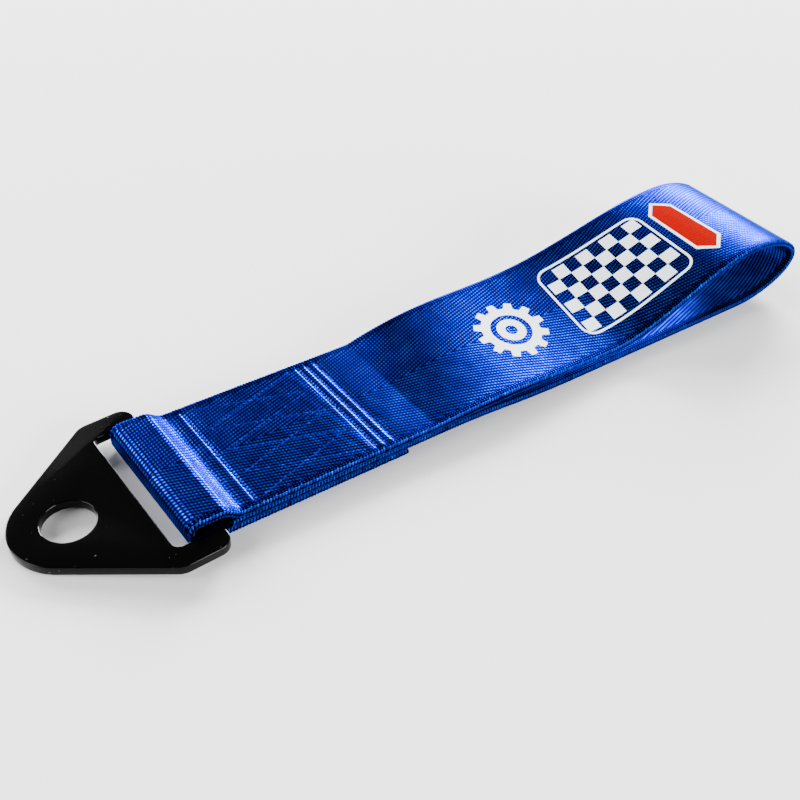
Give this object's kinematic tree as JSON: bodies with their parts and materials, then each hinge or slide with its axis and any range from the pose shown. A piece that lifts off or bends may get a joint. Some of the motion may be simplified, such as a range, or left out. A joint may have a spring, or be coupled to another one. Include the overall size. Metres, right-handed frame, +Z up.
{
  "type": "tow strap",
  "caption": "Flat steel anchor plate with a bolt hole and a webbing slot, carried in the sewn eye of a folded blue webbing loop that lies flat and opens at its free end",
  "frame": {"origin": "centre of the strap's box, on the surface it lies on", "axes": "+X from the anchor plate to the free end of the loop, +Y across the webbing, +Z up"},
  "size_m": [0.288, 0.067, 0.0251],
  "materials": {
    "plate": "gloss black powder coat on steel",
    "webbing": "blue woven nylon webbing with a silky sheen",
    "thread": "dark blue sewing thread"
  },
  "bodies": {
    "strap": {"webbing": "webbing", "top_stitching": "thread", "bottom_stitching": "thread"},
    "plate": {"anchor_plate": "plate"}
  },
  "joints": [
    {"name": "plate_swing", "type": "hinge", "parent": "strap", "child": "plate", "pos_m": [-0.09748, 0, 0.0045], "axis": [0, 1, 0], "range_deg": [-5, 14]}
  ]
}
